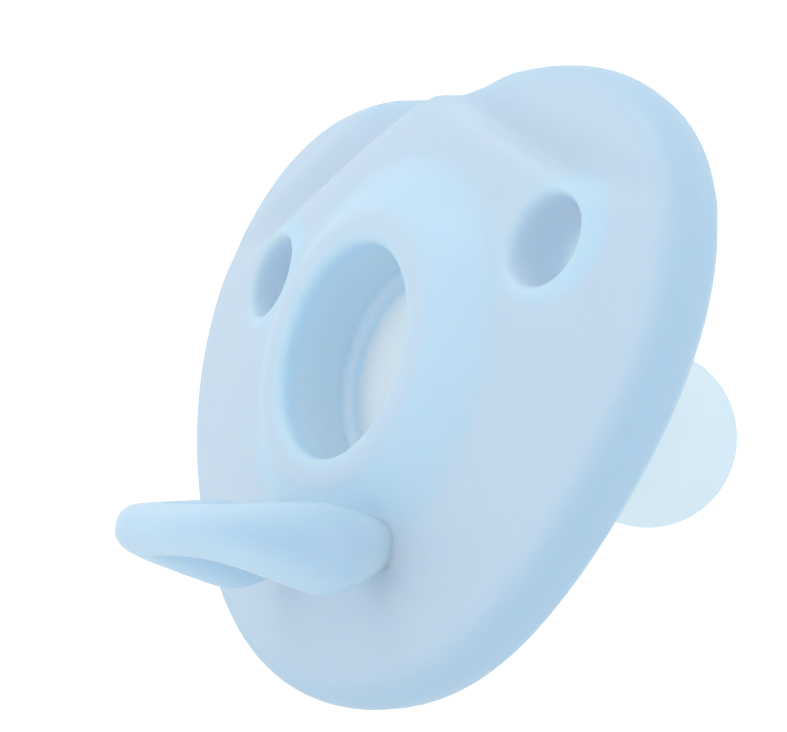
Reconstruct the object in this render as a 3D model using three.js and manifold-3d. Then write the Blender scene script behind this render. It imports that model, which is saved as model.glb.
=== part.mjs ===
// One-piece silicone baby pacifier, in millimetres.
//
// Axes: +Z is up as an upright baby wears it, -Y points away from the face, +Y into the mouth.
// Everything is drawn from the centre of the bore's front rim and moved at the end, so that the
// exported group's origin is the centre of its bounding box.
//
// The real object is one moulding. Each mesh is one of its zones, and neighbouring zones are kept
// a small gap apart so that each is a closed solid of its own.

import * as THREE from "three";
import { LoftGeometry } from "three/addons/geometries/LoftGeometry.js";
import { mergeVertices } from "three/addons/utils/BufferGeometryUtils.js";
import Module from "manifold-3d";

const wasm = await Module();
wasm.setup();

// ---- Driving dimensions ----

const GAP = 0.3; // clearance between neighbouring zones

// Shield outline: mean radius, and how much each harmonic shapes it for the nose and the chin.
const SHIELD_RADIUS = 23.3;
const OUTLINE_FLATTEN = 0.124;
const OUTLINE_HEART = 0.069;
const OUTLINE_NOTCH = 0.0135;
const OUTLINE_CHIN = 0.0065;
const OUTLINE_CENTRE_Z = -0.2;

// Shield plate: thickness, set back behind the bore's rim, and sweep towards the face.
const SHIELD_THICKNESS = 3.5; // at the rim
const MIDDLE_THICKENING = 1; // how much thicker the plate is in its middle
const THICKENING_SHARE = 0.4; // of the way from collar to rim, where the thickening starts to fade
const SHIELD_SET_BACK = 1.1;
const SIDE_SWEEP = 0.004; // per mm, times x squared
const UPRIGHT_SWEEP = 0.0055; // per mm, times z squared
const UPRIGHT_LEAN = 0.006; // times z

// Nose relief: a shallow trough down each side of it, steep on the side towards the middle.
const TROUGH_DEPTH = 1.4;
const TROUGH_TOP_Z = 17; // where the two crests meet
const TROUGH_SPREAD = 2.06; // sideways mm per mm below TROUGH_TOP_Z
const TROUGH_FLANK = 2.6; // width of the steep side
const TROUGH_RISE_START = 2.1; // from the crest, where it starts to rise back to the plate
const TROUGH_RISE_END = 5.1;
const TROUGH_KEPT = 0.2; // share of the depth that stays beyond it
const TROUGH_FADE_BOTTOM = 7.5;
const TROUGH_FADE_TOP = 12.5;

const RIM_WIDTH = 2.3;
const RIM_FRONT_ROUND = 2;
const RIM_BACK_ROUND = 0.8;

// Bore, its sleeve, the raised collar round it and the inner lip.
const BORE_RADIUS = 6.8;
const BORE_EDGE_ROUND = 0.8;
const SLEEVE_RADIUS = 8.6;
const COLLAR_FLAT_RADIUS = 8.9;
const COLLAR_RADIUS = 12.8;
const LIP_RADIUS = 6.15;
const LIP_FRONT = 4.4;
const LIP_BACK = 5.4;

// Vent holes.
const VENT_X = 15.3;
const VENT_Z = 6.5;
const VENT_FRONT_RADIUS = 2.8;
const VENT_BACK_RADIUS = 2.5;
const VENT_ROUND = 0.6;

// Nipple: flared base, neck and bulb, turning about two centres on the bore's axis.
const BASE_FILLET = 2.9; // concave round from the foot to the neck
const NECK_RADIUS = 5.6;
const NECK_WALL = 1.3;
const BULB_RADIUS = 6;
const BULB_WALL = 1.4;
const BULB_DOME_START = 24.6;
const BULB_TIP = 30.4;
const NECK_PIVOT_Y = 12;
const BULB_PIVOT_Y = 18.5;
const BALL_RADIUS = 5.9; // of the round seats that the neck and the bulb turn in

// Handle: a loop of two limbs and a bridge, standing forward on two roots.
const HANDLE_LIMB_X = 5.35;
const HANDLE_LIMB_THICKNESS = 2.3;
const HANDLE_BRIDGE_THICKNESS = 3.4;
const HANDLE_LIMB_ROUND = 0.8;
const HANDLE_TIP_Y = -11.7;
const HANDLE_TOP_Z = -10.1;
const HANDLE_TOP_FALL_Y = -2.5; // ahead of this the top falls to the tip
const HANDLE_TOP_FALL = 0.3; // per mm, once past the bend
const HANDLE_TOP_BEND = 1.5; // softness of the bend where the fall starts
const HANDLE_BOTTOM_Z = -14.95;
const HANDLE_BOTTOM_RISE_Y = -7.5; // ahead of this the bottom rises to the tip
const HANDLE_BOTTOM_RISE = 0.035; // per mm, times the distance squared
const ROOT_TOP_Y = -2; // behind this the top falls to the plate
const ROOT_TOP_FALL = 0.03;
const ROOT_BOTTOM_Y = -2.2; // behind this the bottom rises to the plate
const ROOT_BOTTOM_RISE = 0.17;
const HANDLE_BEND_START_Y = -6.6; // where the limbs end and the bridge begins
const HANDLE_PIVOT_Y = -2.6;
const ROOT_FLARE = 1.3; // how much wider a root is at the plate
const STRAP_LAND_HALF_WIDTH = 1.5; // the straight middle of the bridge, flat on its inside

const ROUND_STEPS = 40; // segments round the bore's axis
const OUTLINE_STEPS = 64; // segments round the shield's outline
const VENT_STEPS = 28; // segments round a vent

// ---- Materials ----

function silicone(color, roughness) {
  return new THREE.MeshStandardMaterial({ color, roughness, metalness: 0 });
}

const SHIELD_COLOUR = 0xc3dcee;
const NIPPLE_COLOUR = 0xdfe9f0;
const HANDLE_COLOUR = 0xbbdaf0;

// ---- Shapes shared by the zones ----

function smoothstep(from, to, value) {
  return THREE.MathUtils.smoothstep(value, from, to);
}

// Distance from the outline's centre to the shield's edge, at an angle from +Z towards +X.
function outlineRadius(angle) {
  return (
    SHIELD_RADIUS *
    (1 -
      OUTLINE_FLATTEN * Math.cos(2 * angle) -
      OUTLINE_HEART * Math.cos(3 * angle) -
      OUTLINE_NOTCH * Math.cos(4 * angle) +
      OUTLINE_CHIN * Math.cos(5 * angle))
  );
}

// How deep the troughs beside the nose relief are.
function noseTrough(x, z) {
  const crestX = TROUGH_SPREAD * (TROUGH_TOP_Z - z);
  const beyond = (Math.abs(x) - crestX) / Math.hypot(1, TROUGH_SPREAD);
  const flank = THREE.MathUtils.smootherstep(beyond, 0, TROUGH_FLANK);
  const recovered = smoothstep(TROUGH_RISE_START, TROUGH_RISE_END, beyond);
  const faded = smoothstep(TROUGH_FADE_BOTTOM, TROUGH_FADE_TOP, z);
  return TROUGH_DEPTH * flank * (1 - (1 - TROUGH_KEPT) * recovered) * faded;
}

// The plate's front face without the collar.
function plateFront(x, z) {
  const sweep = SIDE_SWEEP * x * x + UPRIGHT_SWEEP * z * z + UPRIGHT_LEAN * z;
  return SHIELD_SET_BACK + sweep + noseTrough(x, z);
}

// The real front face: flat round the bore, then the collar's slope, then the plate.
function shieldFront(x, z) {
  return plateFront(x, z) * smoothstep(COLLAR_FLAT_RADIUS, COLLAR_RADIUS, Math.hypot(x, z));
}

// The back face, at a share of the way from the collar (0) to the rim (1).
function shieldBack(x, z, share) {
  const thickening = MIDDLE_THICKENING * (1 - smoothstep(THICKENING_SHARE, 1, share));
  return plateFront(x, z) + SHIELD_THICKNESS + thickening;
}

// Points of a quarter round in a profile, from one angle to another.
function arcPoints(centreR, centreY, radius, fromAngle, toAngle, steps = 4) {
  const points = [];
  for (let i = 0; i <= steps; i++) {
    const angle = fromAngle + ((toAngle - fromAngle) * i) / steps;
    points.push(
      new THREE.Vector2(centreR + radius * Math.cos(angle), centreY + radius * Math.sin(angle)),
    );
  }
  return points;
}

function straight(fromR, fromY, toR, toY, steps) {
  const points = [];
  for (let i = 0; i <= steps; i++) {
    points.push(
      new THREE.Vector2(fromR + ((toR - fromR) * i) / steps, fromY + ((toY - fromY) * i) / steps),
    );
  }
  return points;
}

// A solid of revolution about Y whose profile closes on itself or ends on the axis.
function revolve(profile, steps = ROUND_STEPS, closeRing = true) {
  const points = closeRing ? [...profile, profile[0].clone()] : profile;
  return new THREE.LatheGeometry(points, steps);
}

// Bends a ring drawn in (radius, height) onto the shield. The radius stretches from round at
// the collar to the real outline at the rim. Height 0 is the front face, SHIELD_THICKNESS the
// back. The rim's side wall stands square to the swept face.
function bendOntoShield(geometry) {
  const position = geometry.attributes.position;
  const stretchEnd = SHIELD_RADIUS - RIM_WIDTH - GAP;
  for (let i = 0; i < position.count; i++) {
    const radius = Math.hypot(position.getX(i), position.getZ(i));
    const angle = Math.atan2(position.getX(i), position.getZ(i));
    const share = THREE.MathUtils.clamp((radius - COLLAR_RADIUS) / (stretchEnd - COLLAR_RADIUS), 0, 1);
    const bentRadius = radius + (outlineRadius(angle) - SHIELD_RADIUS) * share;
    const x = bentRadius * Math.sin(angle);
    const z = bentRadius * Math.cos(angle) + OUTLINE_CENTRE_Z * share;
    const height = position.getY(i);
    const squareX = x - 2 * SIDE_SWEEP * x * height * share;
    const squareZ = z - (2 * UPRIGHT_SWEEP * z + UPRIGHT_LEAN) * height * share;
    const front = shieldFront(squareX, squareZ);
    const back = shieldBack(squareX, squareZ, share);
    position.setXYZ(i, squareX, front + (height / SHIELD_THICKNESS) * (back - front), squareZ);
  }
  return geometry;
}

function toSolid(geometry) {
  const bare = geometry.clone();
  bare.deleteAttribute("normal");
  bare.deleteAttribute("uv");
  const merged = mergeVertices(bare, 1e-4);
  return new wasm.Manifold(
    new wasm.Mesh({
      numProp: 3,
      vertProperties: merged.attributes.position.array,
      triVerts: new Uint32Array(merged.index.array),
    }),
  );
}

function fromSolid(solid) {
  const mesh = solid.getMesh();
  const geometry = new THREE.BufferGeometry();
  geometry.setAttribute("position", new THREE.BufferAttribute(mesh.vertProperties, 3));
  geometry.setIndex(new THREE.BufferAttribute(mesh.triVerts, 1));
  geometry.computeVertexNormals();
  return geometry;
}

const pacifier = new THREE.Group();

function addZone(name, geometry, color = SHIELD_COLOUR, roughness = 0.35) {
  const mesh = new THREE.Mesh(geometry, silicone(color, roughness));
  mesh.name = name;
  pacifier.add(mesh);
  return mesh;
}

// ---- Shield ----

// A hole cutter along Y, rounded at the front and narrowing to the back.
function ventCutter() {
  const reach = (SHIELD_THICKNESS + MIDDLE_THICKENING) / 2;
  const past = 2;
  const outer = VENT_FRONT_RADIUS + VENT_ROUND;
  const profile = [
    new THREE.Vector2(0, -reach - past),
    new THREE.Vector2(outer, -reach - past),
    ...arcPoints(outer, VENT_ROUND - reach, VENT_ROUND, -Math.PI / 2, -Math.PI),
    new THREE.Vector2(VENT_BACK_RADIUS, reach),
    new THREE.Vector2(VENT_BACK_RADIUS, reach + past),
    new THREE.Vector2(0, reach + past),
  ];
  return revolve(profile, VENT_STEPS, false);
}

function shieldPlate() {
  const inner = COLLAR_RADIUS + GAP;
  const outer = SHIELD_RADIUS - RIM_WIDTH - GAP;
  const radialSteps = 6;
  const profile = [
    ...straight(inner, 0, outer, 0, radialSteps),
    ...straight(outer, SHIELD_THICKNESS, inner, SHIELD_THICKNESS, radialSteps),
  ];
  let solid = toSolid(bendOntoShield(revolve(profile, OUTLINE_STEPS)));
  for (const side of [-1, 1]) {
    const x = side * VENT_X;
    const middle = plateFront(x, VENT_Z) + (SHIELD_THICKNESS + MIDDLE_THICKENING) / 2;
    solid = solid.subtract(toSolid(ventCutter().translate(x, middle, VENT_Z)));
  }
  return fromSolid(solid);
}

function shieldRim() {
  const inner = SHIELD_RADIUS - RIM_WIDTH;
  const profile = [
    new THREE.Vector2(inner, 0),
    ...arcPoints(SHIELD_RADIUS - RIM_FRONT_ROUND, RIM_FRONT_ROUND, RIM_FRONT_ROUND, -Math.PI / 2, 0),
    ...arcPoints(
      SHIELD_RADIUS - RIM_BACK_ROUND,
      SHIELD_THICKNESS - RIM_BACK_ROUND,
      RIM_BACK_ROUND,
      0,
      Math.PI / 2,
    ),
    new THREE.Vector2(inner, SHIELD_THICKNESS),
  ];
  return bendOntoShield(revolve(profile, OUTLINE_STEPS));
}

function frontCollar() {
  const inner = SLEEVE_RADIUS + GAP;
  const profile = [
    new THREE.Vector2(inner, 0),
    ...straight(COLLAR_FLAT_RADIUS, 0, COLLAR_RADIUS, 0, 4),
    new THREE.Vector2(COLLAR_RADIUS, SHIELD_THICKNESS),
    new THREE.Vector2(inner, SHIELD_THICKNESS),
  ];
  return bendOntoShield(revolve(profile));
}

function boreSleeve() {
  const profile = [
    ...arcPoints(
      BORE_RADIUS + BORE_EDGE_ROUND,
      BORE_EDGE_ROUND,
      BORE_EDGE_ROUND,
      -Math.PI,
      -Math.PI / 2,
    ),
    new THREE.Vector2(SLEEVE_RADIUS, 0),
    new THREE.Vector2(SLEEVE_RADIUS, LIP_FRONT - GAP),
    new THREE.Vector2(BORE_RADIUS, LIP_FRONT - GAP),
  ];
  return revolve(profile);
}

function boreLip() {
  const round = (LIP_BACK - LIP_FRONT) / 2;
  const profile = [
    ...arcPoints(LIP_RADIUS + round, LIP_FRONT + round, round, Math.PI * 1.5, Math.PI / 2),
    new THREE.Vector2(SLEEVE_RADIUS, LIP_BACK),
    new THREE.Vector2(SLEEVE_RADIUS, LIP_FRONT),
  ];
  return revolve(profile.reverse());
}

addZone("shield_plate", shieldPlate());
addZone("shield_rim", shieldRim());
addZone("front_collar", frontCollar());
addZone("bore_sleeve", boreSleeve());
addZone("bore_lip", boreLip());

// ---- Nipple ----

// The part of a ball round a pivot that lies between two radii from the bore's axis.
function seatPoints(pivotY, ballRadius, fromR, toR, steps = 4) {
  const points = [];
  for (let i = 0; i <= steps; i++) {
    const r = fromR + ((toR - fromR) * i) / steps;
    points.push(new THREE.Vector2(r, pivotY - Math.sqrt(ballRadius * ballRadius - r * r)));
  }
  return points;
}

function nippleBase() {
  const cavity = NECK_RADIUS - NECK_WALL;
  const front = LIP_BACK + GAP;
  const filletR = NECK_RADIUS + BASE_FILLET;
  const profile = [
    new THREE.Vector2(LIP_RADIUS, front),
    ...arcPoints(filletR, front + BASE_FILLET, BASE_FILLET, -Math.PI / 2, -Math.PI, 5),
    ...seatPoints(NECK_PIVOT_Y, BALL_RADIUS + GAP, NECK_RADIUS, cavity),
  ];
  return revolve(profile);
}

function nippleNeck() {
  const cavity = NECK_RADIUS - NECK_WALL;
  const profile = [
    ...seatPoints(NECK_PIVOT_Y, BALL_RADIUS, cavity, NECK_RADIUS),
    ...seatPoints(BULB_PIVOT_Y, BALL_RADIUS + GAP, NECK_RADIUS, cavity),
  ];
  return revolve(profile);
}

function nippleBulb() {
  const cavity = NECK_RADIUS - NECK_WALL;
  const domeLength = BULB_TIP - BULB_DOME_START;
  const inside = BULB_RADIUS - BULB_WALL;
  const insideLength = domeLength - BULB_WALL;
  const domeSteps = 7;
  const outer = [];
  const inner = [];
  for (let i = 0; i <= domeSteps; i++) {
    const angle = (Math.PI / 2) * (i / domeSteps);
    outer.push(
      new THREE.Vector2(
        BULB_RADIUS * Math.cos(angle),
        BULB_DOME_START + domeLength * Math.sin(angle),
      ),
    );
    inner.push(
      new THREE.Vector2(inside * Math.cos(angle), BULB_DOME_START + insideLength * Math.sin(angle)),
    );
  }
  outer[domeSteps].x = 0;
  inner[domeSteps].x = 0;
  const profile = [
    ...inner.reverse(),
    ...seatPoints(BULB_PIVOT_Y, BALL_RADIUS, cavity, NECK_RADIUS),
    ...outer,
  ];
  return revolve(profile, ROUND_STEPS, false);
}

addZone("nipple_base", nippleBase(), NIPPLE_COLOUR, 0.3);
addZone("nipple_neck", nippleNeck(), NIPPLE_COLOUR, 0.3);
addZone("nipple_bulb", nippleBulb(), NIPPLE_COLOUR, 0.3);

// ---- Handle ----

const MOST_OF_HALF = 0.9; // a corner's round takes at most this share of a half side

// A bar's section: a rectangle across its path and along Z, with rounded corners.
function barSection(halfWidth, halfHeight) {
  const corner = Math.min(HANDLE_LIMB_ROUND, MOST_OF_HALF * halfWidth, MOST_OF_HALF * halfHeight);
  const cornerSteps = 3;
  const points = [];
  for (let quarter = 0; quarter < 4; quarter++) {
    const centreAcross = (halfWidth - corner) * (quarter === 0 || quarter === 3 ? 1 : -1);
    const centreUp = (halfHeight - corner) * (quarter < 2 ? 1 : -1);
    for (let i = 0; i <= cornerSteps; i++) {
      const angle = (Math.PI / 2) * (quarter + i / cornerSteps);
      points.push([
        centreAcross + corner * Math.cos(angle),
        centreUp + corner * Math.sin(angle),
      ]);
    }
  }
  return points;
}

// A closed bar through stations. Each station gives its middle, its heading in the XY plane
// (0 runs towards -Y, growing towards -X) and its half width and half height.
function bar(stations) {
  const sections = stations.map((s) =>
    barSection(s.halfWidth, s.halfHeight).map(
      ([across, up]) =>
        new THREE.Vector3(
          s.x + across * Math.cos(s.heading),
          s.y - across * Math.sin(s.heading),
          s.z + up,
        ),
    ),
  );
  return new LoftGeometry(sections, { capStart: true, capEnd: true });
}

// The handle's top and bottom heights at a distance in front of the bore's rim.
function handleTop(y) {
  const ahead = Math.min(y - HANDLE_TOP_FALL_Y, 0);
  const behind = Math.max(y - ROOT_TOP_Y, 0);
  const fall = HANDLE_TOP_FALL * (Math.hypot(ahead, HANDLE_TOP_BEND) - HANDLE_TOP_BEND);
  return HANDLE_TOP_Z - fall - ROOT_TOP_FALL * behind * behind;
}

function handleBottom(y) {
  const ahead = Math.min(y - HANDLE_BOTTOM_RISE_Y, 0);
  const behind = Math.max(y - ROOT_BOTTOM_Y, 0);
  return HANDLE_BOTTOM_Z + HANDLE_BOTTOM_RISE * ahead * ahead + ROOT_BOTTOM_RISE * behind * behind;
}

function handleStation(y) {
  const top = handleTop(y);
  const bottom = handleBottom(y);
  return {
    y,
    z: (top + bottom) / 2,
    halfHeight: (top - bottom) / 2,
    halfWidth: HANDLE_LIMB_THICKNESS / 2,
  };
}

const PIVOT_STATION = handleStation(HANDLE_PIVOT_Y);

// A short foot on the plate, flared where it meets it, flat at the front.
function handleRoot(side) {
  const frontY = HANDLE_PIVOT_Y + PIVOT_STATION.halfHeight + GAP;
  const plateY = plateFront(HANDLE_LIMB_X, PIVOT_STATION.z) - GAP;
  const flares = [ROOT_FLARE, 1, 1];
  const shares = [1, 0.5, 0];
  const sections = shares.map((share, i) => {
    const station = handleStation(frontY + share * (plateY - frontY));
    return barSection(station.halfWidth * flares[i], station.halfHeight).map(
      ([across, up]) => {
        const x = side * HANDLE_LIMB_X + across;
        const z = station.z + up;
        const backY = shieldFront(x, z) - GAP;
        return new THREE.Vector3(x, frontY + share * (backY - frontY), z);
      },
    );
  });
  return new LoftGeometry(sections, { capStart: true, capEnd: true });
}

// A limb, half round at its back end about the handle's pivot line.
function handleLimb(side) {
  const endSteps = 5;
  const firstStep = 0.35; // keeps the first section of the round end from closing to a line
  const forwardSteps = 4;
  const radius = PIVOT_STATION.halfHeight;
  const frontY = HANDLE_BEND_START_Y + GAP;
  const stations = [];
  for (let i = 0; i < endSteps; i++) {
    const angle = (Math.PI / 2) * ((i + firstStep) / endSteps);
    const y = HANDLE_PIVOT_Y + radius * Math.cos(angle);
    stations.push({ ...PIVOT_STATION, y, halfHeight: radius * Math.sin(angle) });
  }
  for (let i = 0; i <= forwardSteps; i++) {
    stations.push(handleStation(HANDLE_PIVOT_Y + ((frontY - HANDLE_PIVOT_Y) * i) / forwardSteps));
  }
  return bar(stations.map((s) => ({ ...s, x: side * HANDLE_LIMB_X, heading: 0 })));
}

// The bridge: two quarter bends and the straight land that a strap bears on.
function handleBridge() {
  const bendSteps = 6;
  const bendX = HANDLE_LIMB_X - STRAP_LAND_HALF_WIDTH;
  const bendY = HANDLE_BEND_START_Y - (HANDLE_TIP_Y + HANDLE_BRIDGE_THICKNESS / 2);
  const thickening = HANDLE_BRIDGE_THICKNESS - HANDLE_LIMB_THICKNESS;
  const quarter = [];
  for (let i = 0; i <= bendSteps; i++) {
    const angle = (Math.PI / 2) * (i / bendSteps);
    const y = HANDLE_BEND_START_Y - bendY * Math.sin(angle);
    quarter.push({
      ...handleStation(y),
      halfWidth: (HANDLE_LIMB_THICKNESS + thickening * Math.sin(angle) ** 2) / 2,
      x: STRAP_LAND_HALF_WIDTH + bendX * Math.cos(angle),
      heading: Math.atan2(bendX * Math.sin(angle), bendY * Math.cos(angle)),
    });
  }
  const otherQuarter = quarter
    .map((s) => ({ ...s, x: -s.x, heading: Math.PI - s.heading }))
    .reverse();
  return bar([...quarter, ...otherQuarter]);
}

for (const [name, side] of [["left", -1], ["right", 1]]) {
  addZone("handle_root_" + name, handleRoot(side), HANDLE_COLOUR);
  addZone("handle_limb_" + name, handleLimb(side), HANDLE_COLOUR);
}
addZone("handle_bridge", handleBridge(), HANDLE_COLOUR);

// ---- Origin: the centre of the bounding box ----

const boxCentre = new THREE.Box3().setFromObject(pacifier).getCenter(new THREE.Vector3());
for (const zone of pacifier.children) {
  zone.geometry.translate(-boxCentre.x, -boxCentre.y, -boxCentre.z);
}

export default pacifier;
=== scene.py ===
"""The look of a one-piece silicone pacifier: shield, nipple and handle loop.

Shapes are drawn in millimetres from the centre of the bore's front rim, with +X to the side,
+Y into the mouth and +Z up, and are moved to the CAD frame in metres when a mesh is made.
"""
import math

import bpy
import numpy as np
from mathutils import Matrix, Vector


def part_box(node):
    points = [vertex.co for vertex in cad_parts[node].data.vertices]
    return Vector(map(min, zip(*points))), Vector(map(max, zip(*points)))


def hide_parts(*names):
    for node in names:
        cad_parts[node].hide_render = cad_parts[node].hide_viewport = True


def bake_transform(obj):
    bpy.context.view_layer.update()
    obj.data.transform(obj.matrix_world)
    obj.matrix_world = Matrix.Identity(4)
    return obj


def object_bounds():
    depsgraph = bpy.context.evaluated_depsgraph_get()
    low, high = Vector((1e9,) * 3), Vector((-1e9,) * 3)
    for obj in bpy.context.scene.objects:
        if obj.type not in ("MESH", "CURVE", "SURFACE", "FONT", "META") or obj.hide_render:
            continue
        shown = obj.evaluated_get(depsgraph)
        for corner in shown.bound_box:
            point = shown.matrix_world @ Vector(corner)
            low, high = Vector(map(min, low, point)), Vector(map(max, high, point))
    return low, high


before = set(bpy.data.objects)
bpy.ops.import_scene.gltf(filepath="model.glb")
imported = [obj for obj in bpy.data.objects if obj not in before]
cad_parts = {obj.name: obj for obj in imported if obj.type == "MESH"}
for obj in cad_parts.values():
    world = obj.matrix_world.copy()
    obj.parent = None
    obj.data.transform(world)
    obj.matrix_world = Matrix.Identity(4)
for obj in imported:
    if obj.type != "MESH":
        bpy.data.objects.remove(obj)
cad_low, cad_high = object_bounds()

MM = 0.001

# ---- The shield ----
SHIELD_RADIUS = 23.3
OUTLINE_FLATTEN = 0.124
OUTLINE_HEART = 0.069
OUTLINE_NOTCH = 0.0135
OUTLINE_CHIN = 0.0065
OUTLINE_CENTRE_Z = -0.2
SHIELD_THICKNESS = 3.5
MIDDLE_THICKENING = 1.2
THICKENING_EDGE = (-2.0, -7.0)
SHIELD_SET_BACK = 1.1
SIDE_SWEEP = 0.004
UPRIGHT_SWEEP = 0.0055
UPRIGHT_LEAN = 0.006
TROUGH_DEPTH = 1.0
TROUGH_TOP_Z = 17.0
TROUGH_SPREAD = 2.06
TROUGH_FLANK = 1.9
TROUGH_RISE = (1.5, 4.5)
TROUGH_KEPT = 0.1
TROUGH_FADE_Z = (7.5, 12.5)
TROUGH_MIDDLE_ROUND = 0.1
RIM_FRONT_ROUND = 2.0
RIM_BACK_ROUND = 0.7

# ---- The bore, its collar and its inner lip ----
BORE_RADIUS = 6.8
BORE_EDGE_ROUND = 0.8
BORE_EDGE_FADE_Y = (3.4, 2.2)
HIDDEN_EDGE_ROUND = 0.02
COLLAR_FLAT_RADIUS = 8.9
COLLAR_RADIUS = 13.4
LIP_RADIUS = 6.15
LIP_FRONT = 4.4
LIP_BACK = 5.4
LIP_STEP = 0.35

# ---- The vent holes ----
VENT_X = 15.3
VENT_Z = 6.5
VENT_FRONT_RADIUS = 2.8
VENT_BACK_RADIUS = 2.5
VENT_ROUND = 0.6
VENT_BACK_ROUND = 0.15
VENT_ROUND_DEPTH = 1.2

# ---- The nipple ----
NECK_RADIUS = 5.6
NECK_START_Y = 2.5
NECK_CAVITY_RADIUS = 4.3
CAVITY_NARROW_END = 7.6
FOOT_FILLET = 5.0
BULB_RADIUS = 6.0
BULB_SWELL_LENGTH = 6.0
BULB_WALL = 1.4
BULB_DOME_START = 24.6
BULB_TIP = 30.4
SEAM_Y = 15.25
SEAM_LAP = 1.5
SEAM_INSET = 0.02
SEAM_INSET_FADE = (0.5, -0.1)

# ---- The handle ----
LIMB_X = 5.35
LIMB_THICKNESS = 2.3
BRIDGE_THICKNESS = 3.4
LIMB_ROUND = 1.0
TIP_Y = -11.7
BEND_START_Y = -6.6
LAND_HALF_WIDTH = 1.5
HANDLE_TOP_Z = -10.05
TOP_LEVEL_UP_TO_Y = -2.5
TOP_SLOPE = 0.26
TOP_BEND = 1.2
TOP_ROOT_FROM_Y = -2.0
TOP_ROOT_CURVE = 0.03
TOP_ROOT_MOST = 0.5
HANDLE_BOTTOM_Z = -15.5
BOTTOM_LEVEL_UP_TO_Y = -1.5
BOTTOM_SLOPE = 0.13
BOTTOM_BEND = 1.5
BOTTOM_ROOT_FROM_Y = -2.2
BOTTOM_ROOT_CURVE = 0.17
BOTTOM_ROOT_MOST = 2.4
ROOT_FILLET = 0.7
ROOT_STAND = 1.4
ROOT_STAND_FROM = 0.3
ROOT_STAND_INSET = 0.2
ROOT_FLARE = 0.7
ROOT_FLARE_Y = (-1.0, 1.8)
DISH_DEPTH = 0.4
DISH_HALF_HEIGHT = 0.9
DISH_FRONT_Y = (-11, -7.5)
DISH_BACK_Y = (-1, -4)
ROOT_HIDDEN_Y = 4.2
HANDLE_INSET = 0.03

# ---- Meshing: the shift keeps the grid's planes off the solids' own flat faces ----
GRID_STEP = 0.3
GRID_SHIFT = 0.037
SLIDE_ROUNDS = 4
SLIDE_LONGEST = 0.3
LEAST_STEEPNESS = 0.1
GRADIENT_STEP = 0.01
SLOPE_STEP = 0.02
TINY = 1e-6


# ---- Where the drawing's origin is in the CAD frame ----
sleeve_low, sleeve_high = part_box("bore_sleeve")
sleeve_middle = (sleeve_low + sleeve_high) / 2
ORIGIN = Vector((sleeve_middle.x, sleeve_low.y, sleeve_middle.z))


def to_frame(x, y, z):
    """A point of the drawing in the CAD frame, in metres."""
    return ORIGIN + Vector((x, y, z)) * MM


# ---- Joining distances ----
def round_max(a, b, radius):
    """The overlap of two solids, its edge rounded."""
    a_in = np.maximum(a + radius, 0)
    b_in = np.maximum(b + radius, 0)
    return np.minimum(np.maximum(a, b), -radius) + np.hypot(a_in, b_in)


def round_min(a, b, radius):
    """Two solids joined, with a fillet in the corner between them."""
    return -round_max(-a, -b, radius)


def smoothstep(start, end, value):
    """0 before start, 1 after end, and an S-curve between them."""
    t = np.clip((value - start) / (end - start), 0, 1)
    return t * t * (3 - 2 * t)


def smootherstep(start, end, value):
    """Like smoothstep, with no sudden change of curvature at its ends."""
    t = np.clip((value - start) / (end - start), 0, 1)
    return t**3 * (10 - 15 * t + 6 * t**2)


# ---- The shield's faces ----
def nose_trough(x, z):
    """The trough along each side of the nose relief: steep towards the middle, shallow outwards."""
    crest_x = TROUGH_SPREAD * (TROUGH_TOP_Z - z)
    beyond = (np.hypot(x, TROUGH_MIDDLE_ROUND) - crest_x) / math.hypot(1, TROUGH_SPREAD)
    flank = smootherstep(0, TROUGH_FLANK, beyond)
    recovered = smoothstep(*TROUGH_RISE, beyond)
    faded = smoothstep(*TROUGH_FADE_Z, z)
    return TROUGH_DEPTH * flank * (1 - (1 - TROUGH_KEPT) * recovered) * faded


def plate_front(x, z):
    """The plate's front face: swept back to the sides, and troughed beside the nose."""
    sweep = SIDE_SWEEP * x**2 + UPRIGHT_SWEEP * z**2 + UPRIGHT_LEAN * z
    return SHIELD_SET_BACK + sweep + nose_trough(x, z)


def shield_front(x, z):
    """The whole front face: flat round the bore, then the collar's slope, then the plate."""
    return plate_front(x, z) * smoothstep(COLLAR_FLAT_RADIUS, COLLAR_RADIUS, np.hypot(x, z))


def steepness(height, x, z):
    """Length of a face's normal whose +Y part is 1."""
    h = SLOPE_STEP
    dx = (height(x + h, z) - height(x - h, z)) / (2 * h)
    dz = (height(x, z + h) - height(x, z - h)) / (2 * h)
    return np.sqrt(1 + dx**2 + dz**2)


def outline_distance(x, z):
    """Distance outside the shield's outline, seen from the front."""
    angle = np.arctan2(x, z - OUTLINE_CENTRE_Z)
    radius = SHIELD_RADIUS * (
        1
        - OUTLINE_FLATTEN * np.cos(2 * angle)
        - OUTLINE_HEART * np.cos(3 * angle)
        - OUTLINE_NOTCH * np.cos(4 * angle)
        + OUTLINE_CHIN * np.cos(5 * angle)
    )
    # How fast the radius changes with the angle, which slants the outline.
    turn = SHIELD_RADIUS * (
        2 * OUTLINE_FLATTEN * np.sin(2 * angle)
        + 3 * OUTLINE_HEART * np.sin(3 * angle)
        + 4 * OUTLINE_NOTCH * np.sin(4 * angle)
        - 5 * OUTLINE_CHIN * np.sin(5 * angle)
    )
    return (np.hypot(x, z - OUTLINE_CENTRE_Z) - radius) / np.hypot(1, turn / radius)


def plate_back(x, z):
    """The back face: the plate is thicker in the middle than at its rim."""
    thickening = MIDDLE_THICKENING * smoothstep(*THICKENING_EDGE, outline_distance(x, z))
    return plate_front(x, z) + SHIELD_THICKNESS + thickening


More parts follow.
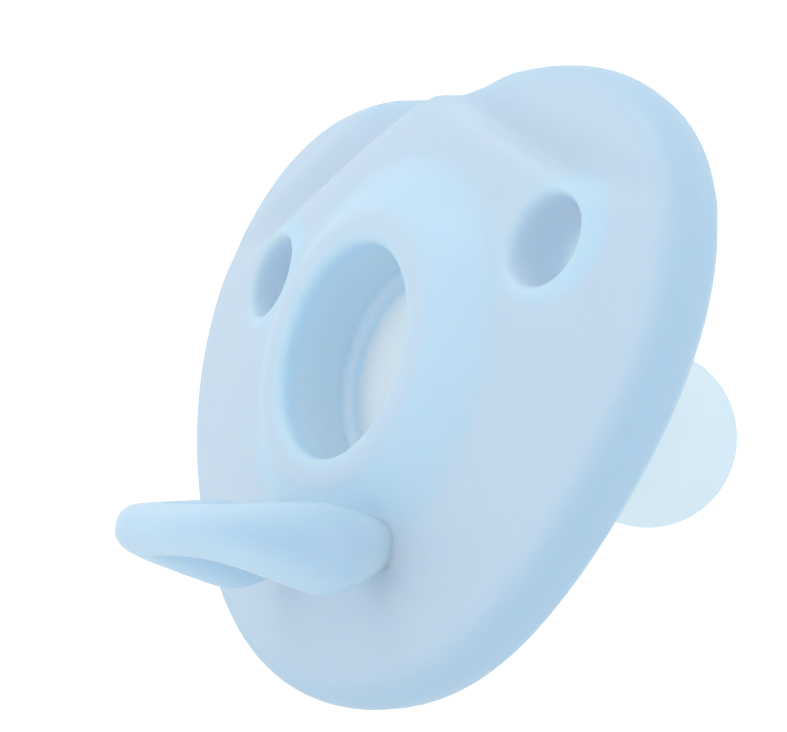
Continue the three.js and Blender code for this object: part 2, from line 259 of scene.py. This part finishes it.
def plate_distance(x, y, z):
    """The plate with its collar; the rim's side wall stands square to the swept face."""
    front = (shield_front(x, z) - y) / steepness(shield_front, x, z)
    back = (y - plate_back(x, z)) / steepness(plate_front, x, z)
    depth = np.clip(y - plate_front(x, z), 0, SHIELD_THICKNESS)
    side = outline_distance(
        x + 2 * SIDE_SWEEP * x * depth,
        z + (2 * UPRIGHT_SWEEP * z + UPRIGHT_LEAN) * depth,
    )
    return round_max(round_max(front, side, RIM_FRONT_ROUND), back, RIM_BACK_ROUND)


# ---- The vents ----
def vent_distance(x, z, side):
    """Distance from a vent's axis, which runs along Y."""
    return np.hypot(x - side * VENT_X, z - VENT_Z)


def vent_radius(x, y, z):
    """A vent narrows from the shield's front face to its back."""
    front = plate_front(x, z)
    share = np.clip((y - front) / (plate_back(x, z) - front), 0, 1)
    return VENT_FRONT_RADIUS + (VENT_BACK_RADIUS - VENT_FRONT_RADIUS) * share


# ---- The bore and the nipple's hollow ----
def hollow_radius(y):
    """Radius of the hollow along the bore's axis: bore, lip, then narrowing to the neck."""
    lip = smoothstep(LIP_FRONT, LIP_FRONT + LIP_STEP, y)
    narrow = smoothstep(LIP_BACK, CAVITY_NARROW_END, y)
    at_lip = BORE_RADIUS - (BORE_RADIUS - LIP_RADIUS) * lip
    return at_lip - (LIP_RADIUS - NECK_CAVITY_RADIUS) * narrow


# ---- The handle ----
def slope_to_tip(y, level_up_to, slope, bend):
    """Nothing behind level_up_to, then a straight slope towards the tip, through a soft bend."""
    return slope * (np.hypot(np.minimum(y - level_up_to, 0), bend) - bend)


def curve_to_plate(y, start, curve, most):
    """Nothing ahead of start, then a curve towards the plate that ends level."""
    return np.minimum(curve * np.maximum(y - start, 0) ** 2, most)


def limb_top(y):
    """Height of the loop's upper face: highest near the plate, dropping to the tip."""
    fall_to_tip = slope_to_tip(y, TOP_LEVEL_UP_TO_Y, TOP_SLOPE, TOP_BEND)
    fall_to_plate = curve_to_plate(y, TOP_ROOT_FROM_Y, TOP_ROOT_CURVE, TOP_ROOT_MOST)
    return HANDLE_TOP_Z - fall_to_tip - fall_to_plate


def limb_bottom(y):
    """Height of the loop's lower face: lowest near the plate, rising to the tip."""
    rise_to_tip = slope_to_tip(y, BOTTOM_LEVEL_UP_TO_Y, BOTTOM_SLOPE, BOTTOM_BEND)
    rise_to_plate = curve_to_plate(y, BOTTOM_ROOT_FROM_Y, BOTTOM_ROOT_CURVE, BOTTOM_ROOT_MOST)
    return HANDLE_BOTTOM_Z + rise_to_tip + rise_to_plate


def loop_distance(x, y):
    """Distance from the loop's centre line seen from above, and the bar's half thickness there."""
    bend_x = LIMB_X - LAND_HALF_WIDTH
    bend_y = BEND_START_Y - (TIP_Y + BRIDGE_THICKNESS / 2)
    across = np.maximum(np.abs(x) - LAND_HALF_WIDTH, 0) / bend_x
    ahead = np.maximum(BEND_START_Y - y, 0) / bend_y
    reach = np.maximum(np.hypot(across, ahead), TINY)
    slope = np.hypot(across / bend_x, ahead / bend_y) / reach
    bent = (reach - 1) / np.maximum(slope, 1 / max(bend_x, bend_y))
    straight = np.abs(x) - LIMB_X
    out = np.where(y > BEND_START_Y, straight, bent)
    thickness = LIMB_THICKNESS + (BRIDGE_THICKNESS - LIMB_THICKNESS) * (ahead / reach) ** 2
    return out, thickness / 2 + ROOT_FLARE * smoothstep(*ROOT_FLARE_Y, y)


def bar_distance(x, y, z):
    """The handle's bar, without its joint to the plate; its outer side is dished."""
    top = limb_top(y)
    bottom = limb_bottom(y)
    middle = (top + bottom) / 2
    out, half = loop_distance(x, y)
    along = smoothstep(*DISH_FRONT_Y, y) * smoothstep(*DISH_BACK_Y, y)
    dish = DISH_DEPTH * np.exp(-(((z - middle) / DISH_HALF_HEIGHT) ** 2)) * along
    across = np.where(out > 0, out + dish, -out) - half
    upright = np.abs(z - middle) - (top - bottom) / 2
    return round_max(across, upright, LIMB_ROUND)


# ---- The two moulded solids ----
def behind_middle(x, y, z):
    """Distance behind the plate's middle layer."""
    return y - plate_front(x, z) - SHIELD_THICKNESS / 2


def handle_feet(x, y, z):
    """The start of each limb, which belongs to the shield and dives under the handle's skin."""
    ahead = shield_front(x, z) - y
    inset = ROOT_STAND_INSET * smoothstep(ROOT_STAND_FROM, ROOT_STAND, ahead)
    feet = np.maximum(bar_distance(x, y, z) + inset, ahead - ROOT_STAND)
    return np.maximum(feet, behind_middle(x, y, z))


def shield_field(x, y, z):
    """The shield with its bore, vents, the handle's feet and the nipple as far as the seam."""
    r = np.hypot(x, z)
    neck = np.maximum(r - NECK_RADIUS, NECK_START_Y - y)
    solid = round_min(plate_distance(x, y, z), neck, FOOT_FILLET)
    solid = round_min(solid, handle_feet(x, y, z), ROOT_FILLET)
    at_mouth = smoothstep(*BORE_EDGE_FADE_Y, y)
    bore_edge = HIDDEN_EDGE_ROUND + (BORE_EDGE_ROUND - HIDDEN_EDGE_ROUND) * at_mouth
    solid = round_max(solid, hollow_radius(y) - r, bore_edge)
    at_front = smoothstep(SHIELD_THICKNESS, VENT_ROUND_DEPTH, y - plate_front(x, z))
    vent_edge = VENT_BACK_ROUND + (VENT_ROUND - VENT_BACK_ROUND) * at_front
    for side in (-1, 1):
        solid = round_max(solid, vent_radius(x, y, z) - vent_distance(x, z, side), vent_edge)
    return np.maximum(solid, y - SEAM_Y)


def handle_field(x, y, z):
    """The loop, with its ends hidden inside the plate."""
    return np.maximum(bar_distance(x, y, z) + HANDLE_INSET, behind_middle(x, y, z))


def bulb_field(x, y, z):
    """The hollow rounded end of the nipple, open where it meets the neck."""
    r = np.hypot(x, z)
    dome = BULB_TIP - BULB_DOME_START
    swell = smoothstep(SEAM_Y, SEAM_Y + BULB_SWELL_LENGTH, y)
    lap = SEAM_INSET * smoothstep(*SEAM_INSET_FADE, y - SEAM_Y)
    outer_radius = NECK_RADIUS + (BULB_RADIUS - NECK_RADIUS) * swell - lap
    ahead = np.maximum(y - BULB_DOME_START, 0)
    outer = np.hypot(r, ahead * outer_radius / dome) - outer_radius
    inner_swell = BULB_RADIUS - BULB_WALL - NECK_CAVITY_RADIUS
    inner_radius = NECK_CAVITY_RADIUS + inner_swell * swell + lap
    inner = np.hypot(r, ahead * inner_radius / (dome - BULB_WALL)) - inner_radius
    return np.maximum(np.maximum(outer, -inner), SEAM_Y - SEAM_LAP - y)


# ---- Meshing: one vertex in every grid cell the surface passes through ----
def cell_vertices(values, low, step):
    """A vertex in each crossed cell, at the mean of the places where its edges are crossed."""
    inside = values < 0
    nx, ny, nz = values.shape
    shape = (nx - 1, ny - 1, nz - 1)
    count = np.zeros(shape)
    total = np.zeros((3,) + shape)
    index = np.indices(values.shape)
    edges = []
    for axis in range(3):
        first = [slice(None)] * 3
        second = [slice(None)] * 3
        first[axis] = slice(0, -1)
        second[axis] = slice(1, None)
        first, second = tuple(first), tuple(second)
        crossed = inside[first] != inside[second]
        edges.append((crossed, inside[first]))
        span = values[first] - values[second]
        share = np.where(crossed, values[first] / np.where(span == 0, 1, span), 0)
        others = [k for k in range(3) if k != axis]
        for a in (0, 1):
            for b in (0, 1):
                part = [slice(None)] * 3
                part[others[0]] = slice(a, a + shape[others[0]])
                part[others[1]] = slice(b, b + shape[others[1]])
                part = tuple(part)
                hit = crossed[part]
                count += hit
                for k in range(3):
                    at = index[k][first][part] + (share[part] if k == axis else 0)
                    total[k] += np.where(hit, at, 0)
    active = count > 0
    points = (total[:, active] / count[active]).T * step + low
    numbers = np.full(shape, -1)
    numbers[active] = np.arange(active.sum())
    return points, numbers, edges


def cell_faces(numbers, edges):
    """A quad round each crossed edge, from the vertices of the four cells that share it."""
    faces = []
    for axis in range(3):
        crossed, starts_inside = edges[axis]
        u, v = [(1, 2), (2, 0), (0, 1)][axis]
        trimmed = [slice(None)] * 3
        trimmed[u] = slice(1, -1)
        trimmed[v] = slice(1, -1)
        trimmed = tuple(trimmed)
        where = np.argwhere(crossed[trimmed])
        offset = np.zeros(3, int)
        offset[u] = 1
        offset[v] = 1
        where = where + offset
        outward = starts_inside[tuple(where.T)]
        corners = []
        for du, dv in ((-1, -1), (0, -1), (0, 0), (-1, 0)):
            cell = where.copy()
            cell[:, u] += du
            cell[:, v] += dv
            corners.append(numbers[tuple(cell.T)])
        quad = np.stack(corners, axis=1)
        quad[~outward] = quad[~outward][:, ::-1]
        faces.append(quad)
    return np.concatenate(faces)


def slide_to_surface(points, field):
    """Moves points along the field's gradient until they lie on its surface."""
    h = GRADIENT_STEP
    longest = SLIDE_LONGEST * GRID_STEP
    for _ in range(SLIDE_ROUNDS):
        x, y, z = points.T
        gradient = np.stack(
            [
                field(x + h, y, z) - field(x - h, y, z),
                field(x, y + h, z) - field(x, y - h, z),
                field(x, y, z + h) - field(x, y, z - h),
            ],
            axis=1,
        ) / (2 * h)
        steep = np.maximum((gradient**2).sum(1), LEAST_STEEPNESS)
        move = (field(x, y, z) / steep)[:, None] * gradient
        length = np.linalg.norm(move, axis=1)[:, None]
        points = points - move * np.minimum(1, longest / np.maximum(length, TINY))
    return points


def mould(name, field, low, high):
    """A closed mesh of the solid where the field is below zero."""
    low = np.array(low, float) - GRID_SHIFT
    axes = [np.arange(low[k], high[k] + GRID_STEP, GRID_STEP) for k in range(3)]
    x = axes[0][:, None, None]
    y = axes[1][None, :, None]
    z = axes[2][None, None, :]
    values = field(x, y, z) + np.zeros((len(axes[0]), len(axes[1]), len(axes[2])))
    points, numbers, edges = cell_vertices(values, low, GRID_STEP)
    points = slide_to_surface(points, field)
    faces = cell_faces(numbers, edges)
    mesh = bpy.data.meshes.new(name)
    placed = points * MM + np.array(ORIGIN)
    mesh.vertices.add(len(placed))
    mesh.vertices.foreach_set("co", placed.astype(np.float32).ravel())
    mesh.loops.add(faces.size)
    mesh.loops.foreach_set("vertex_index", faces.astype(np.int32).ravel())
    mesh.polygons.add(len(faces))
    mesh.polygons.foreach_set("loop_start", np.arange(0, faces.size, 4, dtype=np.int32))
    mesh.update(calc_edges=True)
    mesh.validate()
    mesh.shade_smooth()
    piece = bpy.data.objects.new(name, mesh)
    bpy.context.scene.collection.objects.link(piece)
    return piece, points


# ---- Materials ----
BLUE = (0.645, 0.757, 0.849)
# Painted shade: the darker, bluer colour painted along the shield's rim
BLUE_PAINTED_EDGE_SHADE = (0.527, 0.70, 0.823)
# Painted light: the lighter, bluer colour painted where light gathers
BLUE_GLOW = (0.61, 0.80, 0.925)
CLEAR = (0.97, 0.965, 0.96)
# Painted shade: the bluer colour painted on the nipple's outer skin, standing for its bluish edges
CLEAR_PAINTED_EDGE_SHADE = (0.72, 0.87, 0.96)
LET_THROUGH = (0.35, 0.85)
SCATTER_LENGTHS = (1.2, 1.6, 2.0)
SILICONE_IOR = 1.41
CLOUD_SCALE = 90.0
CLOUD_DETAIL = 3.0
CLOUD_SHARE = 0.12
ROUGHNESS = 0.34
ROUGHNESS_SPREAD = 0.04
GRAIN_SCALE = 2500.0
GRAIN_STRENGTH = 0.03
GRAIN_DEPTH = 0.2


def add_mix(nodes, links, factor, first, second):
    """A node that goes from one colour to another; each colour is a value or a socket."""
    mix = nodes.new("ShaderNodeMix")
    mix.data_type = "RGBA"
    links.new(factor, mix.inputs["Factor"])
    for name, colour in (("A", first), ("B", second)):
        if isinstance(colour, tuple):
            mix.inputs[name].default_value = (*colour, 1)
        else:
            links.new(colour, mix.inputs[name])
    return mix.outputs["Result"]


def add_share(nodes, name):
    """A node that reads one of the painted vertex shares."""
    share = nodes.new("ShaderNodeAttribute")
    share.attribute_name = name
    return share.outputs["Fac"]


def silicone(name):
    """Soft translucent silicone: light scatters in it and comes through it.

    Painted shares: "edge" is painted shade, darker and bluer at the edges; "glow" is painted light
    where light gathers; "nipple" is the clearer silicone of the nipple, with some painted light on
    the bore's wall.
    """
    material = bpy.data.materials.new(name)
    material.use_nodes = True
    nodes = material.node_tree.nodes
    links = material.node_tree.links
    shader = nodes["Principled BSDF"]
    shader.inputs["Subsurface Weight"].default_value = 1.0
    shader.inputs["Subsurface Radius"].default_value = SCATTER_LENGTHS
    shader.inputs["Subsurface Scale"].default_value = MM
    shader.inputs["IOR"].default_value = SILICONE_IOR
    coordinates = nodes.new("ShaderNodeTexCoord")
    cloud = nodes.new("ShaderNodeTexNoise")
    cloud.inputs["Scale"].default_value = CLOUD_SCALE
    cloud.inputs["Detail"].default_value = CLOUD_DETAIL
    links.new(coordinates.outputs["Object"], cloud.inputs["Vector"])
    shift = nodes.new("ShaderNodeMath")
    shift.operation = "MULTIPLY_ADD"
    shift.inputs[1].default_value = CLOUD_SHARE
    shift.inputs[2].default_value = -CLOUD_SHARE / 2
    links.new(cloud.outputs["Fac"], shift.inputs[0])
    edge = nodes.new("ShaderNodeMath")
    edge.operation = "ADD"
    edge.use_clamp = True
    links.new(add_share(nodes, "edge"), edge.inputs[0])
    links.new(shift.outputs["Value"], edge.inputs[1])
    nipple = add_share(nodes, "nipple")
    # Painted shade: darker and bluer where the edge share is painted
    blue = add_mix(nodes, links, edge.outputs["Value"], BLUE, BLUE_PAINTED_EDGE_SHADE)
    # Painted light: mixed in by the glow share
    lit = add_mix(nodes, links, add_share(nodes, "glow"), blue, BLUE_GLOW)
    # Painted shade: the nipple's outer skin mixed towards the bluer colour
    clear = add_mix(nodes, links, edge.outputs["Value"], CLEAR, CLEAR_PAINTED_EDGE_SHADE)
    colour = add_mix(nodes, links, nipple, lit, clear)
    links.new(colour, shader.inputs["Base Color"])
    rough = nodes.new("ShaderNodeMapRange")
    rough.inputs["To Min"].default_value = ROUGHNESS - ROUGHNESS_SPREAD
    rough.inputs["To Max"].default_value = ROUGHNESS + ROUGHNESS_SPREAD
    links.new(cloud.outputs["Fac"], rough.inputs["Value"])
    links.new(rough.outputs["Result"], shader.inputs["Roughness"])
    grain = nodes.new("ShaderNodeTexNoise")
    grain.inputs["Scale"].default_value = GRAIN_SCALE
    links.new(coordinates.outputs["Object"], grain.inputs["Vector"])
    bump = nodes.new("ShaderNodeBump")
    bump.inputs["Strength"].default_value = GRAIN_STRENGTH
    bump.inputs["Distance"].default_value = GRAIN_DEPTH * MM
    links.new(grain.outputs["Fac"], bump.inputs["Height"])
    links.new(bump.outputs["Normal"], shader.inputs["Normal"])
    through = nodes.new("ShaderNodeBsdfTranslucent")
    links.new(colour, through.inputs["Color"])
    thinness = nodes.new("ShaderNodeMapRange")
    thinness.inputs["To Min"].default_value = LET_THROUGH[0]
    thinness.inputs["To Max"].default_value = LET_THROUGH[1]
    links.new(nipple, thinness.inputs["Value"])
    both = nodes.new("ShaderNodeMixShader")
    links.new(thinness.outputs["Result"], both.inputs["Fac"])
    links.new(shader.outputs["BSDF"], both.inputs[1])
    links.new(through.outputs["BSDF"], both.inputs[2])
    links.new(both.outputs["Shader"], nodes["Material Output"].inputs["Surface"])
    return material


def paint(piece, name, value):
    """Stores a share from 0 to 1 at each vertex, for the material to read."""
    attribute = piece.data.attributes.new(name, "FLOAT", "POINT")
    attribute.data.foreach_set("value", np.clip(value, 0, 1).astype(np.float32))


def finish_piece(piece, material):
    piece.data.materials.append(material)


# ---- Where the shares are painted: distances in millimetres where each one starts and ends ----
# Painted shade: the band inside the outline where the rim is painted darker and bluer
RIM_PAINTED_SHADE = (-2.6, -0.4)
# Painted light: a lighter, bluer ring on the collar's flank round the bore
COLLAR_GLOW = 0.85
COLLAR_GLOW_START = (8.2, 9.8)
COLLAR_GLOW_END = (14.5, 11.5)
# Painted light round each vent, its centre moved towards +X
VENT_GLOW_SHIFT = 1.2
VENT_GLOW_END = (4.6, 3.2)
VENT_GLOW_START = (VENT_FRONT_RADIUS - 0.1, VENT_FRONT_RADIUS + 0.3)
# Painted light on the bore's wall and lip, lightening the recess
BORE_GLOW = 0.8
BORE_GLOW_END = (7.8, 6.9)
# Painted light: the bore's wall painted clearer and lighter
BORE_PAINTED_LIGHT = 0.3
BORE_PAINTED_LIGHT_END = (7.4, 6.9)
BORE_PAINTED_LIGHT_Y = (0.4, 1.4)
HOLLOW_CLEAR_Y = (5.1, 5.6)
HOLLOW_CLEAR_END = (7.0, 6.4)
NECK_CLEAR_Y = (6.0, 8.5)
NECK_CLEAR_END = (9, 7)
NECK_SKIN = (4.6, 5.2)
# Painted shade: where the bulb's outer skin and dome are painted bluer
BULB_PAINTED_SHADE_RADII = (4.7, 5.3)
BULB_PAINTED_SHADE_DOME = 2.0
# Painted shade: how much of the bluer edge colour the nipple's outer skin gets
NIPPLE_PAINTED_EDGE_SHADE = 0.5
# Painted light: the whole handle painted lighter and bluer than the shield's silicone
HANDLE_GLOW = 0.5

# ---- The pieces: the boxes that they are drawn in ----
SHIELD_BOX = ((-27.8, -1.5, -22.8), (27.8, SEAM_Y + 1, 20.8))
BULB_REACH = BULB_RADIUS + 1.5
BULB_BOX = (
    (-BULB_REACH, SEAM_Y - SEAM_LAP - 1, -BULB_REACH),
    (BULB_REACH, BULB_TIP + 1, BULB_REACH),
)
HANDLE_BOX = ((-8, TIP_Y - 1, -17.5), (8, ROOT_HIDDEN_Y + 1, -8.5))

shield_silicone = silicone("shield_silicone")
handle_silicone = silicone("handle_silicone")
nipple_silicone = silicone("nipple_silicone")


def paint_shield(piece, points):
    """Painted shade at the rim, painted light round the bore, on its wall and round the vents, and
    clear where the nipple starts.
    """
    x, y, z = points.T
    r = np.hypot(x, z)
    # Painted light on the collar's flank
    collar = COLLAR_GLOW * smoothstep(*COLLAR_GLOW_START, r) * smoothstep(*COLLAR_GLOW_END, r)
    # Painted shade: darker and bluer towards the shield's outline
    rim = smoothstep(*RIM_PAINTED_SHADE, outline_distance(x, z))
    # Painted light round each vent, off centre towards +X
    vents = sum(
        smoothstep(*VENT_GLOW_END, vent_distance(x - VENT_GLOW_SHIFT, z, side))
        * smoothstep(*VENT_GLOW_START, vent_distance(x, z, side))
        for side in (-1, 1)
    )
    # Painted light on the bore's wall and lip
    bore = BORE_GLOW * smoothstep(*BORE_GLOW_END, r)
    hollow = smoothstep(*HOLLOW_CLEAR_Y, y) * smoothstep(*HOLLOW_CLEAR_END, r)
    neck = smoothstep(*NECK_CLEAR_Y, y) * smoothstep(*NECK_CLEAR_END, r) * smoothstep(*NECK_SKIN, r)
    # Painted light: part of the bore's wall painted clearer
    bore_painted_light = BORE_PAINTED_LIGHT * smoothstep(*BORE_PAINTED_LIGHT_END, r) * smoothstep(*BORE_PAINTED_LIGHT_Y, y)
    # The nipple share: the nipple's own clear silicone, plus the painted light in the bore
    nipple = np.maximum.reduce([hollow, neck, bore_painted_light])
    # The edge share: painted shade at the rim, and the nipple's painted edge shade on the neck
    paint(piece, "edge", rim * (1 - nipple) + NIPPLE_PAINTED_EDGE_SHADE * neck)
    paint(piece, "glow", np.maximum.reduce([collar, vents, bore]))
    paint(piece, "nipple", nipple)


def make_shield():
    piece, points = mould("shield", shield_field, *SHIELD_BOX)
    paint_shield(piece, points)
    finish_piece(piece, shield_silicone)
    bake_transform(piece)
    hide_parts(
        "shield_plate",
        "shield_rim",
        "front_collar",
        "bore_sleeve",
        "bore_lip",
        "handle_root_left",
        "handle_root_right",
        "nipple_base",
        "nipple_neck",
    )


def make_bulb():
    piece, points = mould("nipple_bulb_skin", bulb_field, *BULB_BOX)
    x, y, z = points.T
    # Painted shade: the bulb's outer skin and dome painted bluer than its inside
    dome = smoothstep(BULB_DOME_START, BULB_DOME_START + BULB_PAINTED_SHADE_DOME, y)
    outer = smoothstep(*BULB_PAINTED_SHADE_RADII, np.hypot(x, z)) + dome
    paint(piece, "edge", NIPPLE_PAINTED_EDGE_SHADE * np.minimum(outer, 1))
    paint(piece, "nipple", np.ones(len(points)))
    finish_piece(piece, nipple_silicone)
    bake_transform(piece)
    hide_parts("nipple_bulb")


def make_handle():
    piece, points = mould("handle_loop", handle_field, *HANDLE_BOX)
    # Painted light: the whole loop painted lighter
    paint(piece, "glow", np.full(len(points), HANDLE_GLOW))
    finish_piece(piece, handle_silicone)
    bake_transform(piece)
    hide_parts("handle_limb_left", "handle_limb_right", "handle_bridge")


# ---- Floor, light and camera ----
FLOOR_DROP = 20.0
FLOOR_RADIUS = 0.8
FLOOR_STEPS = 96
FLOOR_DARK = (0.86, 0.87, 0.88)
FLOOR_LIGHT = (0.9, 0.9, 0.9)
FLOOR_ROUGHNESS = 0.8
FLOOR_CLOUD_SCALE = 3.0
WORLD_STRENGTH = 1.14
KEY_SIZE = 0.16
KEY_ENERGY = 0.22
KEY_PLACE = (-0.1, -0.35, 0.42)
CAMERA_AZIMUTH = math.radians(57.67)
CAMERA_ELEVATION = math.radians(-9.21)
CAMERA_ROLL = math.radians(-10.26)
CAMERA_DISTANCE = 151.17
CAMERA_AIM = (1.651, 2.729, -0.398)
CAMERA_LENS = 112.4
CAMERA_SENSOR = 36
CAMERA_CLIP = (0.001, 20)


def plain_material(name, low, high):
    """Matt paper whose shade drifts a little."""
    material = bpy.data.materials.new(name)
    material.use_nodes = True
    nodes = material.node_tree.nodes
    links = material.node_tree.links
    shader = nodes["Principled BSDF"]
    shader.inputs["Roughness"].default_value = FLOOR_ROUGHNESS
    cloud = nodes.new("ShaderNodeTexNoise")
    cloud.inputs["Scale"].default_value = FLOOR_CLOUD_SCALE
    ramp = nodes.new("ShaderNodeMix")
    ramp.data_type = "RGBA"
    ramp.inputs["A"].default_value = (*low, 1)
    ramp.inputs["B"].default_value = (*high, 1)
    links.new(cloud.outputs["Fac"], ramp.inputs["Factor"])
    links.new(ramp.outputs["Result"], shader.inputs["Base Color"])
    return material


def make_floor():
    height = cad_low.z - FLOOR_DROP * MM
    corners = []
    for i in range(FLOOR_STEPS):
        angle = 2 * math.pi * i / FLOOR_STEPS
        corners.append((FLOOR_RADIUS * math.cos(angle), FLOOR_RADIUS * math.sin(angle), height))
    mesh = bpy.data.meshes.new("floor")
    mesh.from_pydata(corners, [], [list(range(FLOOR_STEPS))])
    floor = bpy.data.objects.new("floor", mesh)
    bpy.context.scene.collection.objects.link(floor)
    mesh.materials.append(plain_material("floor_paper", FLOOR_DARK, FLOOR_LIGHT))


def make_light():
    world = bpy.data.worlds.new("studio")
    bpy.context.scene.world = world
    world.use_nodes = True
    background = world.node_tree.nodes["Background"]
    background.inputs["Color"].default_value = (1, 1, 1, 1)
    background.inputs["Strength"].default_value = WORLD_STRENGTH
    lamp = bpy.data.lights.new("key", "AREA")
    lamp.shape = "DISK"
    lamp.size = KEY_SIZE
    lamp.energy = KEY_ENERGY
    holder = bpy.data.objects.new("key", lamp)
    place = Vector(KEY_PLACE)
    holder.location = place
    holder.rotation_mode = "QUATERNION"
    holder.rotation_quaternion = (-place).to_track_quat("-Z", "Y")
    bpy.context.scene.collection.objects.link(holder)


def make_camera():
    """A camera that looks back along the given direction, turned by its roll."""
    back = Vector(
        (
            math.sin(CAMERA_AZIMUTH) * math.cos(CAMERA_ELEVATION),
            -math.cos(CAMERA_AZIMUTH) * math.cos(CAMERA_ELEVATION),
            math.sin(CAMERA_ELEVATION),
        )
    )
    level = Vector((math.cos(CAMERA_AZIMUTH), math.sin(CAMERA_AZIMUTH), 0))
    upward = back.cross(level)
    right = level * math.cos(CAMERA_ROLL) - upward * math.sin(CAMERA_ROLL)
    up = level * math.sin(CAMERA_ROLL) + upward * math.cos(CAMERA_ROLL)
    data = bpy.data.cameras.new("camera")
    data.sensor_fit = "HORIZONTAL"
    data.sensor_width = CAMERA_SENSOR
    data.lens = CAMERA_LENS
    data.clip_start, data.clip_end = CAMERA_CLIP
    camera = bpy.data.objects.new("camera", data)
    turn = Matrix((right, up, back)).transposed().to_4x4()
    place = to_frame(*CAMERA_AIM) + back * CAMERA_DISTANCE * MM
    camera.matrix_world = Matrix.Translation(place) @ turn
    bpy.context.scene.collection.objects.link(camera)
    bpy.context.scene.camera = camera


make_shield()
make_bulb()
make_handle()
make_floor()
make_light()
make_camera()
bpy.context.scene.view_settings.view_transform = "Standard"
